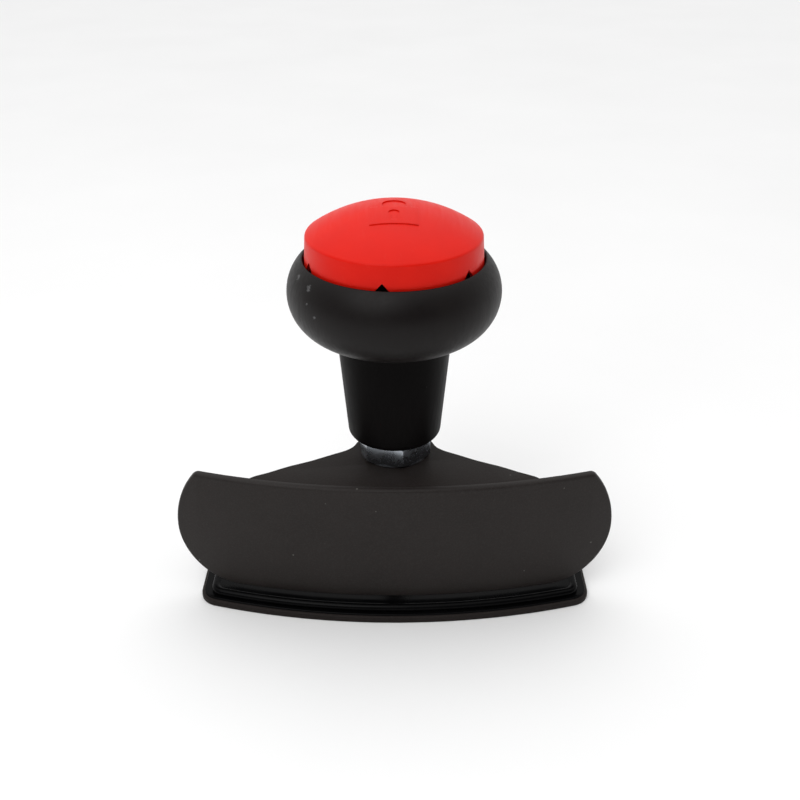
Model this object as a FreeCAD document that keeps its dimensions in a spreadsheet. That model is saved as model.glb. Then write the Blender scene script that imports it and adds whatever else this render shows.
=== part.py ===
"""Steering wheel lock: two jaws on a round stem, closed by pushing a palm knob.

Millimetres, +Z up. The origin is on the knob's axis, in the underside of the lower
plate. The curved guard faces -Y. The lock is modelled closed and unlocked.
"""
import FreeCAD, Part
import Sketcher
import math
import os

from FreeCAD import Placement, Rotation, Vector

os.makedirs("parts", exist_ok=True)

doc = FreeCAD.newDocument("steering_wheel_lock")
sheet = doc.addObject("Spreadsheet::Sheet", "Sheet")

# ---------------------------------------------------------------- driving dimensions
SIZE = {
    # lower jaw: a flat plate with a bowed front edge, and the pad on it
    "tray_half_width": 92.3,
    "tray_front_y": -43.8,
    "tray_front_radius": 298.0,
    "tray_back_y": 26.0,
    "tray_corner_radius": 10.0,
    "tray_thickness": 3.2,
    "pad_inset": 1.2,
    "pad_thickness": 0.8,
    "pad_field_thickness": 3.0,
    "pad_hole_radius": 13.4,
    "bead_side_inset": 7.0,
    "bead_front_inset": 4.8,
    "bead_corner_radius": 5.0,
    "bead_radius": 1.9,
    "bead_rise": 0.2,
    # stem that stands on the lower jaw and runs up into the lock
    "stem_radius": 6.0,
    "stem_top_z": 116.0,
    "stem_foot_radius": 13.0,
    "stem_foot_thickness": 3.0,
    "stem_tip_chamfer": 1.0,
    "groove_low_z": 103.5,
    "groove_high_z": 112.5,
    "groove_radius": 3.5,
    "keyway_width": 2.7,
    "keyway_depth": 1.4,
    "keyway_low_z": 56.0,
    "stem_screw_radius": 3.0,
    "stem_screw_head_radius": 6.2,
    "stem_screw_recess": 0.3,
    "stem_screw_top_z": 18.0,
    "stem_socket_radius": 2.31,
    "stem_socket_top_z": 2.4,
    "dowel_radius": 1.5,
    "dowel_offset": 9.5,
    "dowel_low_z": 0.4,
    "dowel_top_z": 6.0,
    # guard: a wall of a large upright cylinder, with round ends
    "guard_radius": 302.0,
    "guard_front_y": -34.4,
    "guard_thickness": 3.0,
    "guard_blank_front_y": -45.0,
    "guard_low_z": 8.2,
    "guard_waist_z": 36.8,
    "guard_top_z": 66.9,
    "guard_half_width": 101.75,
    "guard_upper_radius": 46.8,
    "guard_corner_radius": 4.0,
    # bell-shaped top plate
    "top_plate_z": 66.8,
    "top_plate_thickness": 5.0,
    "top_plate_lobe_radius": 19.5,
    "lobe_end_angle": 18.0,
    "wing_half_width": 65.4,
    "weld_leg": 3.0,
    # hollow stud through the top plate, its nut and washer
    "stud_radius": 10.0,
    "stud_bore_radius": 6.08,
    "stud_top_z": 98.0,
    "stud_flange_radius": 15.0,
    "stud_flange_thickness": 4.0,
    "guide_pin_radius": 1.2,
    "guide_pin_tip_y": 4.9,
    "guide_pin_inset": 0.3,
    "washer_radius": 15.6,
    "washer_thickness": 0.6,
    "nut_corner_radius": 17.32,
    "nut_top_z": 77.5,
    "nut_chamfer_rise": 1.0,
    "nut_chamfer_run": 1.9,
    "nut_turn": 43.0,
    # neck and head of the palm knob
    "neck_low_z": 77.9,
    "neck_top_z": 128.2,
    "neck_low_radius": 21.0,
    "neck_top_radius": 25.6,
    "neck_round": 3.6,
    "head_tube_radius": 20.7,
    "head_tube_centre_r": 25.97,
    "head_lip_radius": 39.2,
    "head_lip_round": 0.6,
    "cup_floor_z": 158.0,
    "head_screw_radius": 1.5,
    "head_screw_circle": 20.8,
    "head_screw_low_z": 117.0,
    "head_screw_head_radius": 2.9,
    "head_screw_head_height": 2.0,
    # steel core inside the knob
    "housing_radius": 17.0,
    "housing_low_z": 78.0,
    "housing_top_z": 154.0,
    "sleeve_gap": 0.05,
    "passage_clearance": 0.4,
    "chamber_low_z": 103.0,
    "chamber_high_z": 120.4,
    "chamber_half_width": 6.3,
    "chamber_reach": 12.5,
    "cam_bore_radius": 10.5,
    "disc_thickness": 3.0,
    "disc_hole_radius": 7.0,
    # key cylinder
    "cylinder_radius": 13.0,
    "cylinder_low_z": 124.0,
    "plug_radius": 6.5,
    "plug_clearance": 0.05,
    "plug_top_z": 156.8,
    "keyhole_width": 2.4,
    "keyhole_height": 9.0,
    "keyhole_low_z": 128.0,
    "pin_radius": 1.4,
    "pin_bore_radius": 1.45,
    "pin_first_z": 130.0,
    "pin_pitch": 4.6,
    "pin_count": 5,
    "key_pin_tip_gap": 0.25,
    "driver_length": 2.5,
    "spring_wire": 0.2,
    "spring_radius": 1.1,
    # cam under the plug and the slide that it drives
    "cam_radius": 9.5,
    "cam_gap": 0.3,
    "cam_thickness": 3.0,
    "cam_pin_radius": 1.5,
    "cam_pin_low_z": 117.0,
    "cam_screw_radius": 1.25,
    "cam_screw_head_radius": 2.2,
    "cam_screw_head_height": 1.4,
    "cam_screw_offset": 3.0,
    "cam_screw_top_z": 127.0,
    "slide_travel": 2.8,
    "slide_top_z": 120.1,
    "slide_low_z": 104.5,
    "slide_blade_top_z": 111.5,
    "slide_plate_thickness": 3.5,
    "slide_half_width": 5.0,
    "slide_reach": 12.0,
    "slide_tail": 8.0,
    "slide_blade_tip_x": 6.5,
    "slide_finger_x": 9.5,
    "slide_slot_margin": 0.32,
    # snap-in cap over the key cylinder
    "cap_dome_radius": 65.3,
    "cap_shoulder_radius": 38.0,
    "cap_shoulder_z": 174.3,
    "cap_foot_radius": 38.75,
    "cap_foot_z": 158.3,
    "cap_wall": 1.8,
    "cap_edge_round": 1.6,
    "cap_notch_count": 6,
    "cap_notch_turn": 7.0,
    "cap_notch_half_width": 5.9,
    "cap_notch_low_z": 160.2,
    "cap_notch_high_z": 166.75,
    "emblem_relief": 0.45,
    "emblem_width": 20.0,
    "emblem_height": 15.0,
    "emblem_bow_radius": 7.2,
    "emblem_bow_width": 2.2,
    "emblem_y": -2.0,
    "emblem_keyhole_radius": 2.2,
}


def derive(size):
    """Work out the sizes that follow from the driving ones, for the sheet to hold too."""
    front_y = size["tray_front_y"]
    bow = size["tray_front_radius"]
    corner = size["tray_corner_radius"]
    half = size["tray_half_width"]
    bow_y = front_y + bow
    corner_x = half - corner
    corner_y = bow_y - math.sqrt((bow - corner) ** 2 - corner_x ** 2)
    size["tray_bow_centre_y"] = bow_y
    size["tray_corner_x"] = corner_x
    size["tray_corner_y"] = corner_y
    size["tray_bow_end_x"] = corner_x * bow / (bow - corner)
    size["tray_bow_end_y"] = bow_y - (bow_y - corner_y) * bow / (bow - corner)
    size["tray_back_corner_y"] = size["tray_back_y"] - corner

    size["stem_low_z"] = size["tray_thickness"]
    size["stem_foot_top_z"] = size["stem_low_z"] + size["stem_foot_thickness"]
    size["stem_tip_radius"] = size["stem_radius"] - size["stem_tip_chamfer"]
    size["stem_tip_z"] = size["stem_top_z"] - size["stem_tip_chamfer"]

    size["guard_centre_y"] = size["guard_front_y"] + size["guard_radius"]
    size["guard_inner_radius"] = size["guard_radius"] - size["guard_thickness"]
    size["guard_lower_radius"] = size["guard_waist_z"] - size["guard_low_z"]
    size["guard_lower_x"] = size["guard_half_width"] - size["guard_lower_radius"]
    size["guard_upper_x"] = size["guard_half_width"] - size["guard_upper_radius"]

    plate_low = size["top_plate_z"] - size["top_plate_thickness"]
    size["top_plate_low_z"] = plate_low
    size["stud_flange_low_z"] = plate_low - size["stud_flange_thickness"]
    size["guide_pin_z"] = plate_low - size["stud_flange_thickness"] / 2
    size["nut_low_z"] = size["top_plate_z"] + size["washer_thickness"]

    tube, lip = size["head_tube_radius"], size["head_lip_round"]
    lip_run = size["head_lip_radius"] + lip - size["head_tube_centre_r"]
    lip_rise = math.sqrt((tube - lip) ** 2 - lip_run ** 2)
    size["head_tube_centre_z"] = size["neck_top_z"] + tube
    size["head_wall_top_z"] = size["head_tube_centre_z"] + lip_rise
    size["head_rim_radius"] = size["head_tube_centre_r"] + lip_run * tube / (tube - lip)
    size["head_rim_z"] = size["head_tube_centre_z"] + lip_rise * tube / (tube - lip)
    size["head_bore_radius"] = size["housing_radius"] + size["sleeve_gap"]

    size["disc_top_z"] = size["housing_top_z"] + size["disc_thickness"]
    size["plug_bore_radius"] = size["plug_radius"] + size["plug_clearance"]
    size["cam_top_z"] = size["cylinder_low_z"] - size["cam_gap"]
    size["cam_low_z"] = size["cam_top_z"] - size["cam_thickness"]
    size["cam_pin_offset"] = size["slide_travel"] / 2

    drop = math.sqrt(size["cap_dome_radius"] ** 2 - size["cap_shoulder_radius"] ** 2)
    size["cap_dome_centre_z"] = size["cap_shoulder_z"] - drop
    size["cap_top_z"] = size["cap_dome_centre_z"] + size["cap_dome_radius"]
    size["cap_inner_dome_radius"] = size["cap_dome_radius"] - size["cap_wall"]
    size["cap_inner_shoulder_radius"] = size["cap_shoulder_radius"] - size["cap_wall"]
    size["cap_inner_shoulder_z"] = size["cap_dome_centre_z"] + math.sqrt(
        size["cap_inner_dome_radius"] ** 2 - size["cap_inner_shoulder_radius"] ** 2)
    size["cap_inner_foot_radius"] = size["cap_foot_radius"] - size["cap_wall"]
    size["cap_cavity_low_z"] = size["cap_foot_z"] - 0.1


derive(SIZE)
for row, (alias, number) in enumerate(SIZE.items(), start=1):
    sheet.set("A%d" % row, alias.replace("_", " "))
    sheet.set("B%d" % row, repr(number))
    sheet.setAlias("B%d" % row, alias)
doc.recompute()


def dim(name):
    """The value of a size; a leading minus sign turns it round."""
    return -SIZE[name[1:]] if name.startswith("-") else SIZE[name]


def cell(name):
    """The sheet expression of a size; a leading minus sign turns it round."""
    return "-Sheet.%s" % name[1:] if name.startswith("-") else "Sheet.%s" % name


# ---------------------------------------------------------------- building helpers
def bind(obj, **expressions):
    """Bind properties to sheet expressions; a dot in a name is written as two underscores."""
    for name, expression in expressions.items():
        obj.setExpression(name.replace("__", "."), expression)
    return obj


def cylinder(name, radius, low, high, x="0", y="0"):
    """An upright cylinder from one height to another; sizes are sheet expressions."""
    obj = doc.addObject("Part::Cylinder", name)
    return bind(obj, Radius=radius, Height="(%s) - (%s)" % (high, low),
                Placement__Base__x=x, Placement__Base__y=y, Placement__Base__z=low)


def block(name, x, y, z):
    """A box from three pairs of sheet expressions."""
    obj = doc.addObject("Part::Box", name)
    return bind(obj, Length="(%s) - (%s)" % (x[1], x[0]), Width="(%s) - (%s)" % (y[1], y[0]),
                Height="(%s) - (%s)" % (z[1], z[0]),
                Placement__Base__x=x[0], Placement__Base__y=y[0], Placement__Base__z=z[0])


def cross_pin(name, radius, y_from, y_to, z):
    """A cylinder that lies along Y."""
    obj = doc.addObject("Part::Cylinder", name)
    obj.Placement.Rotation = Rotation(Vector(1, 0, 0), -90)
    return bind(obj, Radius=radius, Height="(%s) - (%s)" % (y_to, y_from),
                Placement__Base__y=y_from, Placement__Base__z=z)


def cut(name, base, tool):
    obj = doc.addObject("Part::Cut", name)
    obj.Base, obj.Tool = base, tool
    return obj


def fuse(name, shapes):
    obj = doc.addObject("Part::MultiFuse", name)
    obj.Shapes = shapes
    return obj


def common(name, shapes):
    obj = doc.addObject("Part::MultiCommon", name)
    obj.Shapes = shapes
    return obj


def rounded(name, base, radius, chooses):
    """Round the edges of base that the test picks."""
    doc.recompute()
    picked = [number for number, edge in enumerate(base.Shape.Edges, start=1) if chooses(edge)]
    obj = doc.addObject("Part::Fillet", name)
    obj.Base = base
    obj.Edges = [(number, radius, radius) for number in picked]
    return obj


def origin_feature(body, role):
    return next(item for item in body.Origin.OriginFeatures if item.Role == role)


def outline_sketch(body, name, role, corners, arcs):
    """A closed outline whose corners are pairs of size names.

    arcs maps the number of a corner to (radius name, a point that the arc passes); the
    arc runs from that corner to the next one. A None coordinate lies on the axis.
    """
    sketch = body.newObject("Sketcher::SketchObject", name)
    sketch.AttachmentSupport = [(origin_feature(body, role), "")]
    sketch.MapMode = "FlatFace"
    spots = [Vector(0 if x is None else dim(x), 0 if y is None else dim(y), 0) for x, y in corners]
    count = len(corners)
    for number, spot in enumerate(spots):
        following = spots[(number + 1) % count]
        if number in arcs:
            curve = Part.Arc(spot, Vector(*arcs[number][1], 0), following)
        else:
            curve = Part.LineSegment(spot, following)
        sketch.addGeometry(curve, False)
    ends = []
    for number, spot in enumerate(spots):
        geometry = sketch.Geometry[number]
        starts_here = (geometry.StartPoint - spot).Length < 1e-6
        ends.append((1, 2) if starts_here else (2, 1))
    constraints, formulas = [], {}
    for number in range(count):
        following = (number + 1) % count
        constraints.append(Sketcher.Constraint(
            "Coincident", number, ends[number][1], following, ends[following][0]))
    for number, (x, y) in enumerate(corners):
        point = (number, ends[number][0])
        for kind, word, axis in (("DistanceX", x, -2), ("DistanceY", y, -1)):
            if word is None:
                constraints.append(Sketcher.Constraint("PointOnObject", *point, axis))
                continue
            formulas[len(constraints)] = cell(word)
            constraints.append(Sketcher.Constraint(kind, -1, 1, *point, dim(word)))
    for number, (radius, _) in arcs.items():
        formulas[len(constraints)] = cell(radius)
        constraints.append(Sketcher.Constraint("Radius", number, dim(radius)))
    sketch.addConstraint(constraints)
    for index, formula in formulas.items():
        sketch.setExpression("Constraints[%d]" % index, formula)
    return sketch


def turned(name, corners, arcs=None):
    """A body of revolution about Z from a half outline of (radius name, height name)."""
    body = doc.addObject("PartDesign::Body", name)
    sketch = outline_sketch(body, name + "_profile", "XZ_Plane", corners, arcs or {})
    revolution = body.newObject("PartDesign::Revolution", name + "_turning")
    revolution.Profile = sketch
    revolution.ReferenceAxis = (sketch, ["V_Axis"])
    revolution.Angle = 360
    doc.recompute()
    return body


def padded(name, role, corners, arcs, length):
    """A body whose outline is padded to a length."""
    body = doc.addObject("PartDesign::Body", name)
    sketch = outline_sketch(body, name + "_outline", role, corners, arcs)
    pad = body.newObject("PartDesign::Pad", name + "_pad")
    pad.Profile = sketch
    pad.setExpression("Length", length)
    doc.recompute()
    return body


NODES = {}


def node(name, obj):
    """Register a sub-part: its label is its file's name."""
    obj.Label = name
    NODES[name] = obj


def on_circle(centre, radius, degrees):
    """The point of a circle at an angle, for the middle of an arc."""
    angle = math.radians(degrees)
    return centre[0] + radius * math.cos(angle), centre[1] + radius * math.sin(angle)


# ---------------------------------------------------------------- lower jaw
def build_lower_plate():
    corner = dim("tray_corner_radius")
    front = (dim("tray_corner_x"), dim("tray_corner_y"))
    back = (dim("tray_corner_x"), dim("tray_back_corner_y"))
    corners = [
        ("-tray_bow_end_x", "tray_bow_end_y"), ("tray_bow_end_x", "tray_bow_end_y"),
        ("tray_half_width", "tray_corner_y"), ("tray_half_width", "tray_back_corner_y"),
        ("tray_corner_x", "tray_back_y"), ("-tray_corner_x", "tray_back_y"),
        ("-tray_half_width", "tray_back_corner_y"), ("-tray_half_width", "tray_corner_y"),
    ]
    arcs = {
        0: ("tray_front_radius", (0, dim("tray_front_y"))),
        1: ("tray_corner_radius", on_circle(front, corner, -30)),
        3: ("tray_corner_radius", on_circle(back, corner, 45)),
        5: ("tray_corner_radius", on_circle((-back[0], back[1]), corner, 135)),
        7: ("tray_corner_radius", on_circle((-front[0], front[1]), corner, -150)),
    }
    plate = padded("plate_blank", "XY_Plane", corners, arcs, "Sheet.tray_thickness")
    countersink = doc.addObject("Part::Cone", "plate_countersink")
    bind(countersink, Radius1="Sheet.stem_screw_head_radius", Radius2="Sheet.stem_screw_radius",
         Height="Sheet.tray_thickness - Sheet.stem_screw_recess",
         Placement__Base__z="Sheet.stem_screw_recess")
    mouth = cylinder("plate_mouth", "Sheet.stem_screw_head_radius", "-1", "Sheet.stem_screw_recess")
    holes = [countersink, mouth] + dowel_cylinders("plate_dowel_hole", "-1", "Sheet.tray_thickness + 1")
    node("lower_plate", cut("plate", plate, fuse("plate_holes", holes)))


def dowel_cylinders(name, low, high):
    """The pair of anti-rotation dowels beside the stem, as cylinders."""
    return [cylinder("%s_%s" % (name, side), "Sheet.dowel_radius", low, high,
                     x="%s Sheet.dowel_offset" % sign)
            for side, sign in (("left", "-"), ("right", "+"))]


def bowed_wire(side_inset, front_inset, corner, height):
    """The lower plate's outline drawn in by its insets, with corners of a given radius."""
    half = dim("tray_half_width") - side_inset
    bow = dim("tray_front_radius") - front_inset
    back = dim("tray_back_y") - side_inset
    centre_y = dim("tray_bow_centre_y")
    corner_x, back_y = half - corner, back - corner
    corner_y = centre_y - math.sqrt((bow - corner) ** 2 - corner_x ** 2)
    reach = bow / (bow - corner)
    end = (corner_x * reach, centre_y - (centre_y - corner_y) * reach)

    def at(x, y):
        return Vector(x, y, height)

    def bend(x, y, degrees):
        return at(*on_circle((x, y), corner, degrees))

    edges = [
        Part.LineSegment(at(half, corner_y), at(half, back_y)),
        Part.Arc(at(half, back_y), bend(corner_x, back_y, 45), at(corner_x, back)),
        Part.LineSegment(at(corner_x, back), at(-corner_x, back)),
        Part.Arc(at(-corner_x, back), bend(-corner_x, back_y, 135), at(-half, back_y)),
        Part.LineSegment(at(-half, back_y), at(-half, corner_y)),
        Part.Arc(at(-half, corner_y), bend(-corner_x, corner_y, -150), at(-end[0], end[1])),
        Part.Arc(at(-end[0], end[1]), at(0, centre_y - bow), at(*end)),
        Part.Arc(at(*end), bend(corner_x, corner_y, -30), at(half, corner_y)),
    ]
    return Part.Wire([edge.toShape() for edge in edges])


def build_jaw_pad():
    """A moulded rubber pad: a thin edge, a rounded bead, a raised field and a hole for the stem's foot."""
    low, inset = dim("tray_thickness"), dim("pad_inset")
    outline = bowed_wire(inset, inset, dim("tray_corner_radius") - inset, low)
    slab = Part.Face(outline).extrude(Vector(0, 0, dim("pad_thickness")))
    radius = dim("bead_radius")
    bead_line = (dim("bead_side_inset"), dim("bead_front_inset"), dim("bead_corner_radius"))
    field = Part.Face(bowed_wire(*bead_line, low)).extrude(Vector(0, 0, dim("pad_field_thickness")))
    path = bowed_wire(*bead_line, low + radius + dim("bead_rise"))
    first = path.Edges[0]
    ring = Part.makeCircle(radius, first.valueAt(first.FirstParameter),
                           first.tangentAt(first.FirstParameter))
    bead = path.makePipeShell([Part.Wire([ring])], True, True)
    hole = Part.makeCylinder(dim("pad_hole_radius"), dim("guard_low_z"))
    pad = doc.addObject("Part::Feature", "pad")
    pad.Shape = slab.fuse(field).cut(hole).fuse(bead)
    node("jaw_pad", pad)


def build_stem():
    corners = [
        ("stem_screw_radius", "stem_low_z"), ("stem_foot_radius", "stem_low_z"),
        ("stem_foot_radius", "stem_foot_top_z"), ("stem_radius", "stem_foot_top_z"),
        ("stem_radius", "groove_low_z"), ("groove_radius", "groove_low_z"),
        ("groove_radius", "groove_high_z"), ("stem_radius", "groove_high_z"),
        ("stem_radius", "stem_tip_z"), ("stem_tip_radius", "stem_top_z"),
        (None, "stem_top_z"), (None, "stem_screw_top_z"), ("stem_screw_radius", "stem_screw_top_z"),
    ]
    blank = turned("stem_blank", corners)
    keyway = block("stem_keyway", ("-Sheet.keyway_width / 2", "Sheet.keyway_width / 2"),
                   ("Sheet.stem_radius - Sheet.keyway_depth", "Sheet.stem_radius + 1"),
                   ("Sheet.keyway_low_z", "Sheet.stem_top_z + 1"))
    holes = dowel_cylinders("foot_dowel_hole", "Sheet.stem_low_z - 1", "Sheet.dowel_top_z")
    node("stem", cut("stem_cut", blank, fuse("stem_cuts", [keyway] + holes)))


def build_stem_fasteners():
    head = doc.addObject("Part::Cone", "stem_screw_head")
    bind(head, Radius1="Sheet.stem_screw_head_radius", Radius2="Sheet.stem_screw_radius",
         Height="Sheet.tray_thickness - Sheet.stem_screw_recess",
         Placement__Base__z="Sheet.stem_screw_recess")
    shank = cylinder("stem_screw_shank", "Sheet.stem_screw_radius", "Sheet.tray_thickness",
                     "Sheet.stem_screw_top_z")
    socket = doc.addObject("Part::Prism", "stem_screw_socket")
    socket.Polygon = 6
    bind(socket, Circumradius="Sheet.stem_socket_radius", Height="Sheet.stem_socket_top_z")
    node("stem_screw", cut("stem_screw_cut", fuse("stem_screw_blank", [head, shank]), socket))
    node("stem_dowels", fuse("dowels", dowel_cylinders("dowel", "Sheet.dowel_low_z", "Sheet.dowel_top_z")))


# ---------------------------------------------------------------- upper jaw
# The top plate's flank sweeps out from the lobe to the guard in an S; x and y in plan.
WING_CURVE = ((27.9, -2.6), (38.7, -9.0), (49.9, -14.6), (58.4, -19.7))
WING_END_DIRECTION = (0.62, -0.78)
# Each weld bead: its middle and half its spread, in degrees about the guard's axis.
WELDS = ((-9.0, 1.6), (0.0, 1.8), (9.0, 1.6))


def build_top_plate():
    """A bell in plan: a round lobe about the stud and two wings that run out to the guard."""
    lobe = dim("top_plate_lobe_radius")
    centre = Vector(0, dim("guard_centre_y"), 0)
    inner = dim("guard_inner_radius")
    wing_x = dim("wing_half_width")
    wing = Vector(wing_x, centre.y - math.sqrt(inner ** 2 - wing_x ** 2), 0)
    neck = Vector(*on_circle((0, 0), lobe, dim("lobe_end_angle")), 0)
    flank = [neck] + [Vector(x, y, 0) for x, y in WING_CURVE] + [wing]
    curve = Part.BSplineCurve()
    curve.interpolate(flank, InitialTangent=Vector(neck.y, -neck.x, 0) / lobe,
                      FinalTangent=Vector(*WING_END_DIRECTION, 0))
    right = curve.toShape()
    left = right.mirror(Vector(0, 0, 0), Vector(1, 0, 0))
    rear = Part.Arc(neck, Vector(0, lobe, 0), Vector(-neck.x, neck.y, 0)).toShape()
    front = Part.Arc(wing, Vector(0, centre.y - inner, 0), Vector(-wing.x, wing.y, 0)).toShape()
    outline = Part.Wire(Part.__sortEdges__([rear, right, front, left]))
    shape = Part.Face(outline).extrude(Vector(0, 0, dim("top_plate_thickness")))
    shape = shape.cut(Part.makeCylinder(dim("stud_radius"), 20))
    plate = doc.addObject("Part::Feature", "plate_top")
    plate.Shape = shape
    plate.Placement = Placement(Vector(0, 0, dim("top_plate_low_z")), Rotation())
    node("top_plate", plate)


def build_front_shield():
    """A panel with round ends, cut out of the wall of a large upright cylinder."""
    waist, half = "Sheet.guard_waist_z", "Sheet.guard_half_width"
    depth = ("Sheet.guard_blank_front_y", "0")
    slabs = []
    for level, heights in (("lower", ("Sheet.guard_low_z", waist)), ("upper", (waist, "Sheet.guard_top_z"))):
        radius, end_x = "Sheet.guard_%s_radius" % level, "Sheet.guard_%s_x" % level
        pieces = [block("guard_%s_middle" % level, ("-" + end_x, end_x), depth, heights)]
        for side, x in (("left", "-" + end_x), ("right", end_x)):
            end = cross_pin("guard_%s_%s" % (level, side), radius, depth[0], depth[1], waist)
            pieces.append(bind(end, Placement__Base__x=x))
        band = block("guard_%s_band" % level, ("-%s - 1" % half, half + " + 1"), depth, heights)
        slabs.append(common("guard_%s_slab" % level, [fuse("guard_%s_boat" % level, pieces), band]))
    slab = fuse("guard_slab", slabs)

    def at_top_corner(edge):
        box = edge.BoundBox
        along_y = box.XLength < 0.01 and box.ZLength < 0.01
        outside = abs(box.XMax) > dim("guard_upper_x") + 1
        return along_y and outside and abs(box.ZMax - dim("guard_top_z")) < 0.01

    outline = rounded("guard_outline", slab, dim("guard_corner_radius"), at_top_corner)
    outer = cylinder("guard_outer", "Sheet.guard_radius", "0", "80", y="Sheet.guard_centre_y")
    inner = cylinder("guard_inner", "Sheet.guard_inner_radius", "-1", "81", y="Sheet.guard_centre_y")
    node("front_shield", common("guard", [outline, cut("guard_tube", outer, inner)]))


def build_weld_beads():
    """Three fillet welds in the inner corner under the top plate."""
    leg, low = dim("weld_leg"), dim("top_plate_low_z")
    radius, centre_y = dim("guard_inner_radius"), dim("guard_centre_y")
    beads = []
    for middle, half_angle in WELDS:
        corner = Vector(0, centre_y - radius, low)
        across, down = corner + Vector(0, leg, 0), corner - Vector(0, 0, leg)
        belly = corner + Vector(0, leg * 0.6, -leg * 0.6)
        section = Part.Wire([Part.makeLine(corner, across), Part.Arc(across, belly, down).toShape(),
                             Part.makeLine(down, corner)])
        axis = Vector(0, centre_y, 0)
        bead = Part.Face(section).revolve(axis, Vector(0, 0, 1), 2 * half_angle)
        bead.rotate(axis, Vector(0, 0, 1), middle - half_angle)
        beads.append(bead)
    welds = doc.addObject("Part::Feature", "welds")
    welds.Shape = Part.makeCompound(beads)
    node("weld_beads", welds)


def build_stud():
    corners = [
        ("stud_bore_radius", "stud_flange_low_z"), ("stud_flange_radius", "stud_flange_low_z"),
        ("stud_flange_radius", "top_plate_low_z"), ("stud_radius", "top_plate_low_z"),
        ("stud_radius", "stud_top_z"), ("stud_bore_radius", "stud_top_z"),
    ]
    blank = turned("stud_blank", corners)
    hole = cross_pin("guide_pin_hole", "Sheet.guide_pin_radius", "3", "Sheet.stud_flange_radius + 1",
                     "Sheet.guide_pin_z")
    node("stud_tube", cut("stud", blank, hole))
    node("guide_pin", cross_pin("pin_guide", "Sheet.guide_pin_radius", "Sheet.guide_pin_tip_y",
                                "Sheet.stud_flange_radius - Sheet.guide_pin_inset", "Sheet.guide_pin_z"))


def build_nut():
    washer = cylinder("washer_blank", "Sheet.washer_radius", "Sheet.top_plate_z", "Sheet.nut_low_z")
    bore = cylinder("washer_bore", "Sheet.stud_radius", "Sheet.top_plate_z - 1", "Sheet.nut_low_z + 1")
    node("nut_washer", cut("washer", washer, bore))

    prism = doc.addObject("Part::Prism", "nut_prism")
    prism.Polygon = 6
    prism.Placement.Rotation = Rotation(Vector(0, 0, 1), dim("nut_turn"))
    bind(prism, Circumradius="Sheet.nut_corner_radius", Height="Sheet.nut_top_z - Sheet.nut_low_z",
         Placement__Base__z="Sheet.nut_low_z")
    drum = cylinder("nut_drum", "Sheet.nut_corner_radius", "Sheet.nut_low_z", "Sheet.nut_top_z")
    doc.recompute()
    chamfer = doc.addObject("Part::Chamfer", "nut_chamfer")
    chamfer.Base = drum
    rims = [number for number, edge in enumerate(drum.Shape.Edges, start=1)
            if isinstance(edge.Curve, Part.Circle)]
    chamfer.Edges = [(number, dim("nut_chamfer_rise"), dim("nut_chamfer_run")) for number in rims]
    hole = cylinder("nut_bore", "Sheet.stud_radius", "Sheet.nut_low_z - 1", "Sheet.nut_top_z + 1")
    node("hex_nut", cut("nut", common("nut_blank", [prism, chamfer]), hole))


# ---------------------------------------------------------------- palm knob
def head_screw_cylinders(name, radius, low, high):
    """The three screws that hold the knob's head to its neck, as cylinders."""
    cylinders = []
    for number, degrees in enumerate((30, 150, 270)):
        x = "Sheet.head_screw_circle * cos(%d deg)" % degrees
        y = "Sheet.head_screw_circle * sin(%d deg)" % degrees
        cylinders.append(cylinder("%s_%d" % (name, number), radius, low, high, x=x, y=y))
    return cylinders


def build_neck():
    taper = doc.addObject("Part::Cone", "neck_taper")
    bind(taper, Radius1="Sheet.neck_low_radius", Radius2="Sheet.neck_top_radius",
         Height="Sheet.neck_top_z - Sheet.neck_low_z", Placement__Base__z="Sheet.neck_low_z")

    def at_bottom(edge):
        return edge.BoundBox.ZMax < dim("neck_low_z") + 0.01

    blank = rounded("neck_blank", taper, dim("neck_round"), at_bottom)
    bore = cylinder("neck_bore", "Sheet.head_bore_radius", "Sheet.neck_low_z - 1", "Sheet.neck_top_z + 1")
    screws = head_screw_cylinders("neck_screw_hole", "Sheet.head_screw_radius",
                                  "Sheet.head_screw_low_z", "Sheet.neck_top_z + 1")
    node("neck_sleeve", cut("neck", blank, fuse("neck_cuts", [bore] + screws)))


def build_head():
    """The mushroom head: a round grip with a cup for the cap sunk in its top."""
    corners = [
        ("head_bore_radius", "neck_top_z"), ("head_tube_centre_r", "neck_top_z"),
        ("head_rim_radius", "head_rim_z"), ("head_lip_radius", "head_wall_top_z"),
        ("head_lip_radius", "cup_floor_z"), ("head_bore_radius", "cup_floor_z"),
    ]
    tube_centre = (dim("head_tube_centre_r"), dim("head_tube_centre_z"))
    lip_centre = (dim("head_lip_radius") + dim("head_lip_round"), dim("head_wall_top_z"))
    arcs = {
        1: ("head_tube_radius", on_circle(tube_centre, dim("head_tube_radius"), -20)),
        2: ("head_lip_round", on_circle(lip_centre, dim("head_lip_round"), 110)),
    }
    blank = turned("head_blank", corners, arcs)
    shanks = head_screw_cylinders("head_screw_hole", "Sheet.head_screw_radius",
                                  "Sheet.neck_top_z - 1", "Sheet.cup_floor_z + 1")
    sinks = head_screw_cylinders("head_screw_sink", "Sheet.head_screw_head_radius + 0.1",
                                 "Sheet.cup_floor_z - Sheet.head_screw_head_height - 0.2",
                                 "Sheet.cup_floor_z + 1")
    node("knob_head", cut("head", blank, fuse("head_cuts", shanks + sinks)))


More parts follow.
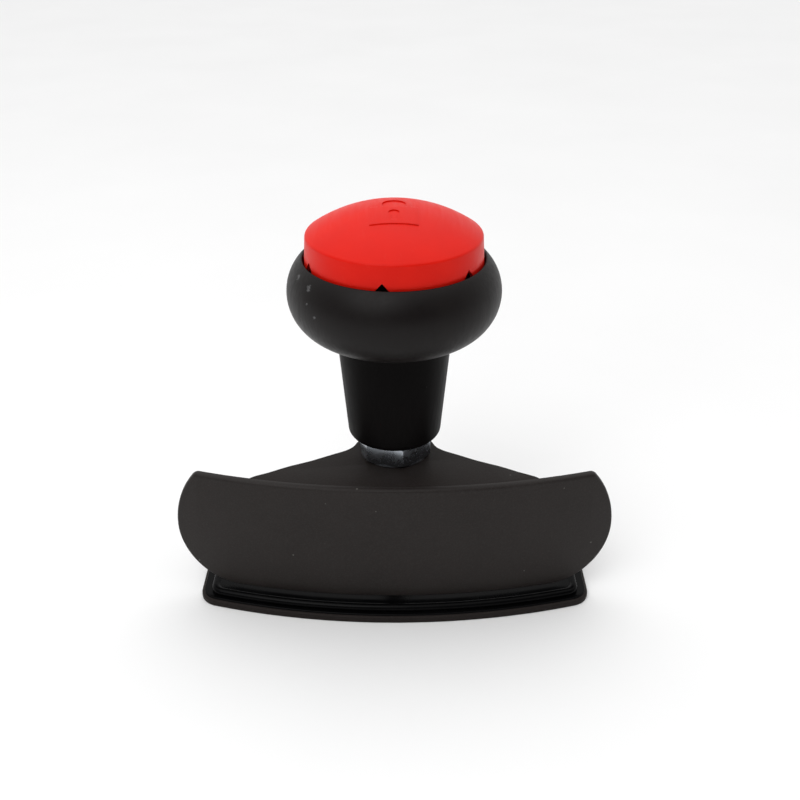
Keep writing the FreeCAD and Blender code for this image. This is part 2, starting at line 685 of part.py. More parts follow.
def build_head_screws():
    seat = "Sheet.cup_floor_z - Sheet.head_screw_head_height - 0.2"
    shanks = head_screw_cylinders("head_screw_shank", "Sheet.head_screw_radius",
                                  "Sheet.head_screw_low_z", seat)
    heads = head_screw_cylinders("head_screw_head", "Sheet.head_screw_head_radius", seat,
                                 "Sheet.cup_floor_z - 0.2")
    sockets = head_screw_cylinders("head_screw_socket", "Sheet.head_screw_radius * 0.8",
                                   "Sheet.cup_floor_z - 1.4", "Sheet.cup_floor_z + 1")
    screws = cut("head_screws_cut", fuse("head_screws_blank", shanks + heads),
                 fuse("head_screw_sockets", sockets))
    node("head_screws", screws)


def build_housing():
    """The steel core: threaded on the stud below, it holds the slide and the key cylinder."""
    blank = cylinder("housing_blank", "Sheet.housing_radius", "Sheet.housing_low_z", "Sheet.housing_top_z")
    thread = cylinder("housing_thread", "Sheet.stud_radius", "Sheet.housing_low_z - 1", "Sheet.stud_top_z")
    passage = cylinder("housing_passage", "Sheet.stem_radius + Sheet.passage_clearance",
                       "Sheet.stud_top_z - 1",
                       "Sheet.chamber_low_z + 1")
    half = "Sheet.chamber_half_width"
    chamber = block("housing_chamber", ("-Sheet.chamber_reach", "Sheet.chamber_reach"),
                    ("-" + half, half), ("Sheet.chamber_low_z", "Sheet.chamber_high_z + 0.1"))
    cam = cylinder("housing_cam_bore", "Sheet.cam_bore_radius", "Sheet.chamber_high_z",
                   "Sheet.cylinder_low_z + 0.1")
    seat = cylinder("housing_seat", "Sheet.cylinder_radius", "Sheet.cylinder_low_z",
                    "Sheet.housing_top_z + 1")
    hollow = fuse("housing_hollow", [thread, passage, chamber, cam, seat])
    node("lock_housing", cut("housing", blank, hollow))

    disc = cylinder("disc_blank", "Sheet.housing_radius", "Sheet.housing_top_z", "Sheet.disc_top_z")
    hole = cylinder("disc_hole", "Sheet.disc_hole_radius", "Sheet.housing_top_z - 1", "Sheet.disc_top_z + 1")
    node("anti_drill_disc", cut("disc", disc, hole))


# ---------------------------------------------------------------- key cylinder
def pin_rows():
    """The heights of the pin stacks, as sheet expressions."""
    return ["Sheet.pin_first_z + %d * Sheet.pin_pitch" % row for row in range(dim("pin_count"))]


def build_cylinder_body():
    blank = cylinder("cylinder_blank", "Sheet.cylinder_radius", "Sheet.cylinder_low_z",
                     "Sheet.housing_top_z")
    bore = cylinder("cylinder_bore", "Sheet.plug_bore_radius", "Sheet.cylinder_low_z - 1",
                    "Sheet.housing_top_z + 1")
    bores = [cross_pin("driver_bore_%d" % row, "Sheet.pin_bore_radius", "0", "Sheet.cylinder_radius + 1", z)
             for row, z in enumerate(pin_rows())]
    node("cylinder_body", cut("cylinder", blank, fuse("cylinder_cuts", [bore] + bores)))


def build_driver_pins():
    pins = [cross_pin("driver_%d" % row, "Sheet.pin_radius", "Sheet.plug_bore_radius + 0.1",
                      "Sheet.plug_bore_radius + 0.1 + Sheet.driver_length", z)
            for row, z in enumerate(pin_rows())]
    node("driver_pins", fuse("drivers", pins))


def build_driver_springs():
    """One small coil behind each driver pin."""
    low = dim("plug_bore_radius") + 0.1 + dim("driver_length") + dim("spring_wire")
    high = dim("cylinder_radius") - dim("spring_wire") - 0.05
    turns = 3
    radius, wire = dim("spring_radius"), dim("spring_wire")
    helix = Part.makeHelix((high - low) / turns, high - low, radius)
    section = Part.Wire([Part.makeCircle(wire, Vector(radius, 0, 0), Vector(0, 1, 0))])
    coil = Part.Wire(helix).makePipeShell([section], True, True)
    coils = []
    for row in range(dim("pin_count")):
        copy = coil.copy()
        height = dim("pin_first_z") + row * dim("pin_pitch")
        copy.Placement = Placement(Vector(0, low, height), Rotation(Vector(1, 0, 0), -90))
        coils.append(copy)
    springs = doc.addObject("Part::Feature", "springs")
    springs.Shape = Part.makeCompound(coils)
    node("driver_springs", springs)


def build_plug():
    blank = cylinder("plug_blank", "Sheet.plug_radius", "Sheet.cam_top_z", "Sheet.plug_top_z")
    keyhole = block("plug_keyhole", ("-Sheet.keyhole_width / 2", "Sheet.keyhole_width / 2"),
                    ("-Sheet.keyhole_height / 2", "Sheet.keyhole_height / 2"),
                    ("Sheet.keyhole_low_z", "Sheet.plug_top_z + 1"))
    bores = [cross_pin("key_pin_bore_%d" % row, "Sheet.pin_bore_radius", "0", "Sheet.plug_radius + 1", z)
             for row, z in enumerate(pin_rows())]
    screws = cam_screw_cylinders("plug_screw_hole", "Sheet.cam_screw_radius", "Sheet.cam_top_z - 1",
                                 "Sheet.cam_screw_top_z")
    node("plug", cut("plug_cut", blank, fuse("plug_cuts", [keyhole] + bores + screws)))

    lengths = (3.6, 2.9, 4.2, 3.2, 3.9)
    tip = "Sheet.plug_radius - Sheet.key_pin_tip_gap"
    pins = [cross_pin("key_pin_%d" % row, "Sheet.pin_radius", "%s - %s" % (tip, length), tip, z)
            for row, (z, length) in enumerate(zip(pin_rows(), lengths))]
    node("key_pins", fuse("key_pin_row", pins))


def cam_screw_cylinders(name, radius, low, high):
    """The two screws that hold the cam to the plug, as cylinders."""
    offset = "Sheet.cam_screw_offset"
    return [cylinder(name + "_a", radius, low, high, x="-" + offset, y=offset),
            cylinder(name + "_b", radius, low, high, x=offset, y="-" + offset)]


def build_cam():
    """A disc under the plug with an off-centre pin that points down into the slide."""
    disc = cylinder("cam_blank", "Sheet.cam_radius", "Sheet.cam_low_z", "Sheet.cam_top_z")
    pin = cylinder("cam_pin", "Sheet.cam_pin_radius", "Sheet.cam_pin_low_z", "Sheet.cam_top_z",
                   x="Sheet.cam_pin_offset", y="Sheet.cam_pin_offset")
    shanks = cam_screw_cylinders("cam_hole", "Sheet.cam_screw_radius", "Sheet.cam_low_z - 1",
                                 "Sheet.cam_top_z + 1")
    sinks = cam_screw_cylinders("cam_sink", "Sheet.cam_screw_head_radius", "Sheet.cam_low_z - 1",
                                "Sheet.cam_low_z + Sheet.cam_screw_head_height")
    node("cam_disc", cut("cam", fuse("cam_body", [disc, pin]), fuse("cam_holes", shanks + sinks)))

    heads = cam_screw_cylinders("cam_screw_head", "Sheet.cam_screw_head_radius", "Sheet.cam_low_z + 0.1",
                                "Sheet.cam_low_z + Sheet.cam_screw_head_height")
    shafts = cam_screw_cylinders("cam_screw_shaft", "Sheet.cam_screw_radius",
                                 "Sheet.cam_low_z + Sheet.cam_screw_head_height", "Sheet.cam_screw_top_z")
    node("cam_screws", fuse("cam_screw_pair", heads + shafts))


def build_slide():
    """The locking slide: a plate over the stem's tip, and a blade that enters the groove."""
    half = ("-Sheet.slide_half_width", "Sheet.slide_half_width")
    plate_low = "Sheet.slide_top_z - Sheet.slide_plate_thickness"
    plate = block("slide_plate", ("-Sheet.slide_tail", "Sheet.slide_reach"), half,
                  (plate_low, "Sheet.slide_top_z"))
    finger = block("slide_finger", ("Sheet.slide_finger_x", "Sheet.slide_reach"), half,
                   ("Sheet.slide_low_z", "Sheet.slide_top_z - 1"))
    blade = block("slide_blade", ("Sheet.slide_blade_tip_x", "Sheet.slide_reach"), half,
                  ("Sheet.slide_low_z", "Sheet.slide_blade_top_z"))
    margin = "(Sheet.cam_pin_radius + Sheet.slide_slot_margin)"
    offset = "Sheet.cam_pin_offset"
    far = "Sheet.cam_pin_offset * sqrt(2)"
    slot = block("slide_slot", ("%s - %s" % (offset, margin), "%s + %s" % (offset, margin)),
                 ("%s - %s" % (offset, margin), "%s + %s" % (far, margin)),
                 (plate_low + " - 1", "Sheet.slide_top_z + 1"))
    node("locking_slide", cut("slide", fuse("slide_blank", [plate, finger, blade]), slot))


# ---------------------------------------------------------------- cap
def domed(name, dome_radius, foot_radius, foot_z, shoulder_radius, shoulder_z):
    """A solid plug with a tapered side and a domed top; sizes are names in the sheet."""
    skirt = doc.addObject("Part::Cone", name + "_skirt")
    bind(skirt, Radius1=cell(foot_radius), Radius2=cell(shoulder_radius),
         Height="%s - %s" % (cell(shoulder_z), cell(foot_z)), Placement__Base__z=cell(foot_z))
    ball = doc.addObject("Part::Sphere", name + "_ball")
    bind(ball, Radius=cell(dome_radius), Placement__Base__z="Sheet.cap_dome_centre_z")
    column = cylinder(name + "_column", cell(shoulder_radius), cell(shoulder_z), "Sheet.cap_top_z + 1")
    return fuse(name, [skirt, common(name + "_dome", [ball, column])])


def build_cap():
    """A domed snap-in cap: its skirt goes down into the cup and has small notches."""
    outer = domed("cap_outer", "cap_dome_radius", "cap_foot_radius", "cap_foot_z",
                  "cap_shoulder_radius", "cap_shoulder_z")
    inner = domed("cap_inner", "cap_inner_dome_radius", "cap_inner_foot_radius", "cap_cavity_low_z",
                  "cap_inner_shoulder_radius", "cap_inner_shoulder_z")
    blank = cut("cap_blank", outer, inner)

    def at_shoulder(edge):
        box = edge.BoundBox
        return abs(box.ZMin - dim("cap_shoulder_z")) < 0.01 and abs(box.ZMax - dim("cap_shoulder_z")) < 0.01

    shell = rounded("cap_rounded", blank, dim("cap_edge_round"), at_shoulder)
    low, high, half = dim("cap_notch_low_z"), dim("cap_notch_high_z"), dim("cap_notch_half_width")
    triangle = Part.makePolygon([Vector(-half, 0, low), Vector(half, 0, low), Vector(0, 0, high),
                                 Vector(-half, 0, low)])
    wedge = Part.Face(triangle).extrude(Vector(0, -60, 0))
    wedges = []
    for number in range(dim("cap_notch_count")):
        copy = wedge.copy()
        turn = number * 360.0 / dim("cap_notch_count") - dim("cap_notch_turn")
        copy.rotate(Vector(0, 0, 0), Vector(0, 0, 1), turn)
        wedges.append(copy)
    notches = doc.addObject("Part::Feature", "cap_notches")
    notches.Shape = Part.makeCompound(wedges)
    node("cap_shell", cut("cap", shell, notches))


def build_emblem():
    """A plain padlock in low relief on the dome."""
    low, high = "Sheet.cap_shoulder_z", "Sheet.cap_top_z + 5"
    middle = "Sheet.emblem_y"
    body = block("emblem_body", ("-Sheet.emblem_width / 2", "Sheet.emblem_width / 2"),
                 (middle + " - Sheet.emblem_height", middle), (low, high))
    bow = cylinder("emblem_bow", "Sheet.emblem_bow_radius", low, high, y=middle + " + 3")
    legs = block("emblem_legs", ("-Sheet.emblem_bow_radius", "Sheet.emblem_bow_radius"),
                 (middle + " - 1", middle + " + 3"), (low, high))
    inside = "(Sheet.emblem_bow_radius - Sheet.emblem_bow_width)"
    bow_hole = cylinder("emblem_bow_hole", inside, low, high, y=middle + " + 3")
    legs_hole = block("emblem_legs_hole", ("-" + inside, inside), (middle, middle + " + 3"), (low, high))
    hoop = cut("emblem_hoop", fuse("emblem_hoop_blank", [bow, legs]),
               fuse("emblem_hoop_hole", [bow_hole, legs_hole]))
    eye = cylinder("emblem_eye", "Sheet.emblem_keyhole_radius", low, high,
                   y=middle + " - Sheet.emblem_height * 0.42")
    shaft = block("emblem_shaft", ("-Sheet.emblem_keyhole_radius * 0.45", "Sheet.emblem_keyhole_radius * 0.45"),
                  (middle + " - Sheet.emblem_height * 0.8", middle + " - Sheet.emblem_height * 0.42"),
                  (low, high))
    padlock = cut("emblem_padlock", fuse("emblem_blank", [body, hoop]), fuse("emblem_keyhole", [eye, shaft]))

    outer = doc.addObject("Part::Sphere", "emblem_outer")
    inner = doc.addObject("Part::Sphere", "emblem_inner")
    bind(outer, Radius="Sheet.cap_dome_radius + Sheet.emblem_relief",
         Placement__Base__z="Sheet.cap_dome_centre_z")
    bind(inner, Radius="Sheet.cap_dome_radius", Placement__Base__z="Sheet.cap_dome_centre_z")
    node("cap_emblem", common("emblem", [padlock, cut("emblem_skin", outer, inner)]))


# ---------------------------------------------------------------- build, test and write
for build in (build_lower_plate, build_jaw_pad, build_stem, build_stem_fasteners, build_top_plate,
              build_front_shield, build_weld_beads, build_stud, build_nut, build_neck, build_head,
              build_head_screws, build_housing, build_cylinder_body, build_driver_pins,
              build_driver_springs, build_plug, build_cam, build_slide, build_cap, build_emblem):
    build()
doc.recompute()

for obj in doc.Objects:
    if {"Invalid", "Error"} & set(obj.State):
        raise RuntimeError("%s failed: %s" % (obj.Label, obj.getStatusString()))
for name, obj in NODES.items():
    if obj.Shape.isNull() or not obj.Shape.isValid() or obj.Shape.Volume <= 0:
        raise RuntimeError("%s has no valid solid" % name)
for name, obj in NODES.items():
    obj.Shape.exportStep("parts/%s.step" % name)
    box = obj.Shape.BoundBox
    print("%-18s %9.1f mm3  solids %d  x %.1f..%.1f y %.1f..%.1f z %.1f..%.1f" % (
        name, obj.Shape.Volume, len(obj.Shape.Solids), box.XMin, box.XMax, box.YMin, box.YMax,
        box.ZMin, box.ZMax))
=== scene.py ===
"""Looks of the steering wheel lock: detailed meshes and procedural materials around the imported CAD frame.

Metres, +Z up, the guard facing -Y. Sizes in MM are millimetres and repeat the part's own sizes.
"""

import math

import bmesh
import bpy
from mathutils import Matrix, Vector


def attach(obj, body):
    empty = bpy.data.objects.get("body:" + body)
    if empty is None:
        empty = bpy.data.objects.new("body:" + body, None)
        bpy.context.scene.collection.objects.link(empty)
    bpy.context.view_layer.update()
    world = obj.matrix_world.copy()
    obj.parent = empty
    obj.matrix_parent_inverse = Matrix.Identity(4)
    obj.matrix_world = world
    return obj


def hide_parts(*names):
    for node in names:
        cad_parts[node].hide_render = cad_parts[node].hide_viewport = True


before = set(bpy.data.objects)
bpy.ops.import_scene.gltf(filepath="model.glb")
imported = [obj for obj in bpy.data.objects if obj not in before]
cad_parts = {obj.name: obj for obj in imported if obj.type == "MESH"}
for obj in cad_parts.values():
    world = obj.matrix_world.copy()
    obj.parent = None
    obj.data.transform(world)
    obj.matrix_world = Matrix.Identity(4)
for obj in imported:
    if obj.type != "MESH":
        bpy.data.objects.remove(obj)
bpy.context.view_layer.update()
MM = 0.001

# ---------------------------------------------------------------- sizes, in millimetres
LATHE_STEPS = 256
SMOOTH_ANGLE = 32.0
MERGE_DISTANCE, FLAT_ANGLE, BEVEL_SEGMENTS = 0.002, 0.6, 3
CAP = {"dome": 65.3, "shoulder_r": 38.0, "shoulder_z": 174.3, "foot_r": 38.75, "foot_z": 158.3, "wall": 1.8,
       "edge": 1.6, "foot_chamfer": 0.25}
CAP_NOTCH = {"count": 6, "turn": 7.0, "half": 5.9, "low": 160.2, "high": 166.75, "from_r": 30, "reach": 15}
HEAD = {"tube": 20.7, "centre_r": 25.96, "centre_z": 148.9, "lip_r": 39.2, "lip": 0.6, "floor": 158.0,
        "bore": 17.05, "floor_round": 0.8, "bore_chamfer": 0.3}
HEAD_SCREW = {"circle": 20.8, "sink_r": 3.0, "sink_z": 155.8, "cut": 6, "angles": (30, 150, 270)}
NECK = {"low_z": 77.9, "top_z": 128.2, "low_r": 21.0, "top_r": 25.6, "round": 3.6, "bore": 17.05}
GUARD = {"radius": 302.0, "front_y": -34.4, "thick": 3.0, "low": 8.2, "waist": 36.8, "top": 66.9,
         "half": 101.75, "upper_r": 46.8, "corner": 4.0, "edge": 0.8, "top_edge": 1.8, "back_top_edge": 0.05}
WELD = {"corner_z": 61.8, "leg": 2.8, "ripples": 14, "ripple_depth": 0.14,
        "runs": ((-9.0, 1.6), (0.0, 1.8), (9.0, 1.6))}
TRAY = {"half": 92.3, "front_y": -43.8, "bow": 298.0, "back_y": 26.0, "corner": 10.0, "thick": 3.2,
        "top_round": 1.1, "under_round": 0.5}
TRAY_HOLES = {"sink_r": 6.2, "sink_flat": 0.3, "screw_r": 3.0, "dowel_x": 9.5, "dowel_r": 1.5}
PAD = {"inset": 1.2, "low": 3.2, "top": 4.0, "field": 6.2, "bead_z": 5.3, "bead_r": 1.9, "bead_side": 7.0,
       "bead_front": 4.8, "hole": 13.4, "edge_round": 0.4, "draft": 0.05, "corner": 5.0, "field_run": 1.5}
TOP_PLATE = {"front_y": -20, "front_half": 65.3, "stud_reach": 11}


# ---------------------------------------------------------------- mesh helpers
def face_outwards(mesh):
    """Turn every face's normal to the outside."""
    shape = bmesh.new()
    shape.from_mesh(mesh)
    bmesh.ops.recalc_face_normals(shape, faces=shape.faces)
    shape.to_mesh(mesh)
    shape.free()


def place_object(name, data):
    """A new object in the scene."""
    piece = bpy.data.objects.new(name, data)
    bpy.context.scene.collection.objects.link(piece)
    return piece


def add_mesh(name, verts, faces, body, material, stands_for, smooth_angle=SMOOTH_ANGLE):
    """A finished mesh object in metres from points in millimetres, riding on a body."""
    mesh = bpy.data.meshes.new(name)
    mesh.from_pydata([Vector(v) * MM for v in verts], [], faces)
    mesh.validate()
    piece = place_object(name, mesh)
    finish_piece(piece, body, material, stands_for, smooth_angle)
    return piece


def finish_piece(piece, body, material, stands_for, smooth_angle=SMOOTH_ANGLE):
    """Face the normals outwards, shade by angle, and tell the frame what the piece is."""
    face_outwards(piece.data)
    shade(piece, smooth_angle)
    piece.data.materials.clear()
    piece.data.materials.append(material)
    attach(piece, body)
    if stands_for:
        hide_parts(*stands_for)


def shade(piece, angle):
    """Smooth shading with sharp edges over an angle in degrees."""
    for face in piece.data.polygons:
        face.use_smooth = True
    piece.data.set_sharp_from_angle(angle=math.radians(angle))


def arc(centre, radius, start, end, steps):
    """Points of an arc in the half plane, angles in degrees."""
    points = []
    for step in range(steps + 1):
        angle = math.radians(start + (end - start) * step / steps)
        points.append((centre[0] + radius * math.cos(angle), centre[1] + radius * math.sin(angle)))
    return points


def lathe(profile, steps=LATHE_STEPS):
    """Vertices and faces of a closed outline of (radius, height) turned about Z."""
    verts, rings = [], []
    for radius, height in profile:
        if radius < 1e-6:
            rings.append([len(verts)] * steps)
            verts.append((0, 0, height))
            continue
        rings.append(list(range(len(verts), len(verts) + steps)))
        for step in range(steps):
            angle = 2 * math.pi * step / steps
            verts.append((radius * math.cos(angle), radius * math.sin(angle), height))
    faces = []
    for ring, following in zip(rings, rings[1:] + rings[:1]):
        for step in range(steps):
            after = (step + 1) % steps
            corners = [ring[step], ring[after], following[after], following[step]]
            corners = list(dict.fromkeys(corners))
            if len(corners) > 2:
                faces.append(corners)
    return verts, faces


def apply_modifiers(piece):
    """Replace the piece's mesh by its evaluated one."""
    bpy.context.view_layer.update()
    graph = bpy.context.evaluated_depsgraph_get()
    mesh = bpy.data.meshes.new_from_object(piece.evaluated_get(graph))
    piece.modifiers.clear()
    piece.data = mesh


def carve(piece, verts_faces_list):
    """Cut closed shapes, in millimetres, out of a piece."""
    cutter_mesh = bpy.data.meshes.new("cutter")
    verts, faces = [], []
    for some_verts, some_faces in verts_faces_list:
        start = len(verts)
        verts += [Vector(v) * MM for v in some_verts]
        faces += [[start + index for index in face] for face in some_faces]
    cutter_mesh.from_pydata(verts, [], faces)
    face_outwards(cutter_mesh)
    cutter = place_object("cutter", cutter_mesh)
    boolean = piece.modifiers.new("carve", "BOOLEAN")
    boolean.operation = "DIFFERENCE"
    boolean.solver = "EXACT"
    boolean.object = cutter
    apply_modifiers(piece)
    bpy.data.objects.remove(cutter)


def circle(x, y, radius, height, steps):
    """A level ring of points."""
    angles = (2 * math.pi * i / steps for i in range(steps))
    return [(x + radius * math.cos(a), y + radius * math.sin(a), height) for a in angles]


def strip_faces(loops, count):
    """Quads between neighbouring loops of points."""
    faces = []
    for level in range(loops - 1):
        for index in range(count):
            after = (index + 1) % count
            faces.append((level * count + index, level * count + after,
                          (level + 1) * count + after, (level + 1) * count + index))
    return faces


def stacked(loops):
    """Vertices and faces of a closed solid through stacked loops."""
    count = len(loops[0])
    verts = [p for loop in loops for p in loop]
    faces = strip_faces(len(loops), count)
    faces += [tuple(range(count)), tuple((len(loops) - 1) * count + i for i in range(count))]
    return verts, faces


def prism(points, direction):
    """A closed prism from a flat loop of points and the vector it is pushed along."""
    count = len(points)
    verts = [Vector(p) for p in points] + [Vector(p) + Vector(direction) for p in points]
    faces = [list(range(count)), list(range(count, 2 * count))]
    faces += [[i, (i + 1) % count, count + (i + 1) % count, count + i] for i in range(count)]
    return verts, faces


def bevelled_copy(node, name, width, body, material, angle=40.0, sharp=None):
    """A copy of a CAD node with its hard edges rounded, width in millimetres; sharp(point) keeps an edge."""
    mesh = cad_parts[node].data.copy()
    mesh.name = name
    shape = bmesh.new()
    shape.from_mesh(mesh)
    bmesh.ops.remove_doubles(shape, verts=shape.verts, dist=MERGE_DISTANCE * MM)
    bmesh.ops.dissolve_limit(shape, angle_limit=math.radians(FLAT_ANGLE), verts=shape.verts,
                             edges=shape.edges)
    weight = shape.edges.layers.float.new("bevel_weight_edge")
    for edge in shape.edges:
        middle = (edge.verts[0].co + edge.verts[1].co) / (2 * MM)
        hard = len(edge.link_faces) == 2 and edge.calc_face_angle() > math.radians(angle)
        edge[weight] = 1.0 if hard and not (sharp and sharp(middle)) else 0.0
    shape.to_mesh(mesh)
    shape.free()
    piece = place_object(name, mesh)
    bevel = piece.modifiers.new("round", "BEVEL")
    bevel.width = width * MM
    bevel.segments = BEVEL_SEGMENTS
    bevel.limit_method = "WEIGHT"
    bevel.miter_outer = "MITER_ARC"
    bevel.use_clamp_overlap = True
    apply_modifiers(piece)
    finish_piece(piece, body, material, (node,))


# ---------------------------------------------------------------- material helpers
class Nodes:
    """A short hand for building a material's node tree."""

    def __init__(self, name):
        self.material = bpy.data.materials.new(name)
        self.material.use_nodes = True
        self.tree = self.material.node_tree
        self.shader = self.tree.nodes["Principled BSDF"]
        self.place = self.new("ShaderNodeTexCoord").outputs["Object"]

    def new(self, kind, **settings):
        node = self.tree.nodes.new(kind)
        for key, value in settings.items():
            setattr(node, key, value)
        return node

    def link(self, output, target):
        self.tree.links.new(output, target)

    def noise(self, scale, detail=3.0, roughness=0.5, stretch=None, distortion=0.0):
        """A noise of about the given number of grains per metre; stretch squeezes the axes."""
        node = self.new("ShaderNodeTexNoise")
        node.inputs["Scale"].default_value = scale
        node.inputs["Detail"].default_value = detail
        node.inputs["Roughness"].default_value = roughness
        node.inputs["Distortion"].default_value = distortion
        source = self.place
        if stretch:
            mapping = self.new("ShaderNodeMapping")
            mapping.inputs["Scale"].default_value = stretch
            self.link(self.place, mapping.inputs["Vector"])
            source = mapping.outputs["Vector"]
        self.link(source, node.inputs["Vector"])
        return node.outputs["Fac"]

    def ramp(self, value, low, high, from_low=0.0, from_high=1.0):
        """A value mapped from one range to another, clamped."""
        node = self.new("ShaderNodeMapRange")
        node.inputs["From Min"].default_value = from_low
        node.inputs["From Max"].default_value = from_high
        node.inputs["To Min"].default_value = low
        node.inputs["To Max"].default_value = high
        self.link(value, node.inputs["Value"])
        return node.outputs["Result"]

    def maths(self, operation, first, second):
        node = self.new("ShaderNodeMath", operation=operation)
        for socket, value in zip(node.inputs, (first, second)):
            if isinstance(value, (int, float)):
                socket.default_value = value
            else:
                self.link(value, socket)
        return node.outputs["Value"]

    def mix(self, factor, first, second):
        """A colour mixed from two, each a colour or a socket."""
        node = self.new("ShaderNodeMix", data_type="RGBA")
        self.link(factor, node.inputs["Factor"])
        for name, value in (("A", first), ("B", second)):
            socket = next(s for s in node.inputs if s.name == name and s.type == "RGBA")
            if isinstance(value, tuple):
                socket.default_value = (*value, 1.0)
            else:
                self.link(value, socket)
        return next(s for s in node.outputs if s.type == "RGBA")

    def bump(self, height, distance, strength, after=None):
        node = self.new("ShaderNodeBump")
        node.inputs["Distance"].default_value = distance
        node.inputs["Strength"].default_value = strength
        self.link(height, node.inputs["Height"])
        if after:
            self.link(after, node.inputs["Normal"])
        return node.outputs["Normal"]

    def near(self, point, radius):
        """1 at a point, falling to 0 at a distance; both in metres."""
        node = self.new("ShaderNodeVectorMath", operation="DISTANCE")
        self.link(self.place, node.inputs[0])
        node.inputs[1].default_value = point
        return self.ramp(node.outputs["Value"], 1.0, 0.0, 0.0, radius)

    def specks(self, scale, size, seed=0.0):
        """Small round spots: 1 inside, 0 outside; scale is cells per metre."""
        mapping = self.new("ShaderNodeMapping")
        mapping.inputs["Location"].default_value = (seed, seed * 0.7, seed * 0.3)
        self.link(self.place, mapping.inputs["Vector"])
        node = self.new("ShaderNodeTexVoronoi", feature="F1")
        node.inputs["Scale"].default_value = scale
        self.link(mapping.outputs["Vector"], node.inputs["Vector"])
        spot = self.ramp(node.outputs["Distance"], 1.0, 0.0, size * 0.5, size)
        chosen = self.new("ShaderNodeSeparateColor")
        self.link(node.outputs["Color"], chosen.inputs["Color"])
        return self.maths("MULTIPLY", spot, self.ramp(chosen.outputs["Red"], 0.0, 1.0, 0.80, 0.84))

    def output(self, colour, roughness, normal=None, **values):
        """Drive the shader: sockets for what varies, plain numbers for what does not."""
        for socket, source in (("Base Color", colour), ("Roughness", roughness), ("Normal", normal)):
            if isinstance(source, (int, float)):
                self.shader.inputs[socket].default_value = source
            elif source is not None:
                self.link(source, self.shader.inputs[socket])
        for name, value in values.items():
            self.shader.inputs[name.replace("_", " ")].default_value = value
        return self.material


# ---------------------------------------------------------------- materials
def powder_coat(name, shine):
    """Black powder coat: fine orange peel, a paler grain and a little dust."""
    n = Nodes(name)
    mottle = n.noise(28, detail=4)
    grain = n.noise(1500, detail=4, roughness=0.7)
    peel = n.noise(620, detail=2)
    dust = n.specks(130, 0.07)
    base = n.mix(n.ramp(mottle, 0.0, 1.0, 0.3, 0.7), (0.0165, 0.0132, 0.0122), (0.0215, 0.0178, 0.0165))
    base = n.mix(n.ramp(grain, 0.0, 0.35, 0.45, 0.75), base, (0.046, 0.041, 0.039))
    base = n.mix(n.maths("MULTIPLY", dust, 0.30), base, (0.30, 0.29, 0.27))
    rough = n.maths("ADD", n.ramp(mottle, 0.44, 0.54, 0.3, 0.7), n.ramp(grain, -0.04, 0.04))
    normal = n.bump(peel, 0.00006, 0.5, after=n.bump(grain, 0.00004, 0.45))
    return n.output(base, rough, normal, Specular_IOR_Level=shine)


# Each scuff on the grip's left front: its bearing about the knob and its tilt up the ring, in degrees,
# and its reach in millimetres.
SCUFFS = ((202, 35, 3.0), (217, 32, 3.6), (219, 15, 1.6), (226, 3, 1.8))


def on_grip(bearing, tilt):
    """A point on the ring of the grip, in metres, from two angles in degrees."""
    bearing, tilt = math.radians(bearing), math.radians(tilt)
    out = HEAD["centre_r"] + HEAD["tube"] * math.cos(tilt)
    height = HEAD["centre_z"] + HEAD["tube"] * math.sin(tilt)
    return out * math.cos(bearing) * MM, out * math.sin(bearing) * MM, height * MM


def satin_plastic(name, shine, dark, light):
    """Black moulded plastic, satin, with fine hairlines, dust, and scuffs on the grip's left side."""
    n = Nodes(name)
    cloud = n.noise(35, detail=4)
    grain = n.noise(3200, detail=2)
    hairs = n.noise(900, detail=2, stretch=(1.0, 1.0, 0.06))
    scuffs = 0.0
    for bearing, tilt, reach in SCUFFS:
        patch = n.noise(1100, detail=5, stretch=(1.0, 0.5, 1.6))
        spot = n.maths("MULTIPLY", n.near(on_grip(bearing, tilt), reach * MM), patch)
        scuffs = n.maths("ADD", spot, scuffs)
    scuffs = n.ramp(scuffs, 0.0, 1.0, 0.28, 0.46)
    base = n.mix(n.ramp(cloud, 0.0, 1.0, 0.3, 0.7), dark, light)
    base = n.mix(n.maths("MULTIPLY", scuffs, 0.55), base, (0.16, 0.16, 0.165))
    base = n.mix(n.maths("MULTIPLY", n.specks(210, 0.045, seed=3.0), 0.25), base, (0.25, 0.24, 0.23))
    rough = n.maths("ADD", n.ramp(cloud, 0.40, 0.50, 0.3, 0.7), n.ramp(hairs, -0.05, 0.05, 0.3, 0.7))
    normal = n.bump(grain, 0.00003, 0.30, after=n.bump(hairs, 0.00002, 0.15))
    return n.output(base, rough, normal, Specular_IOR_Level=shine)


def red_plastic():
    """Red moulded plastic, satin, with faint handling marks and a paler bloom."""
    n = Nodes("red_plastic")
    cloud = n.noise(42, detail=5)
    grain = n.noise(2400, detail=2)
    marks = n.noise(520, detail=3, stretch=(1.0, 0.10, 1.0), distortion=0.6)
    base = n.mix(n.ramp(cloud, 0.0, 1.0, 0.3, 0.7), (0.70, 0.0080, 0.0022), (0.76, 0.0110, 0.0036))
    base = n.mix(n.ramp(marks, 0.0, 0.10, 0.62, 0.72), base, (0.74, 0.07, 0.05))
    rough = n.maths("ADD", n.ramp(cloud, 0.36, 0.46, 0.3, 0.7), n.ramp(marks, -0.04, 0.05, 0.3, 0.7))
    normal = n.bump(grain, 0.00003, 0.25, after=n.bump(cloud, 0.0001, 0.15))
    return n.output(base, rough, normal, Specular_IOR_Level=0.13, Subsurface_Weight=0.15,
                    Subsurface_Scale=0.002)


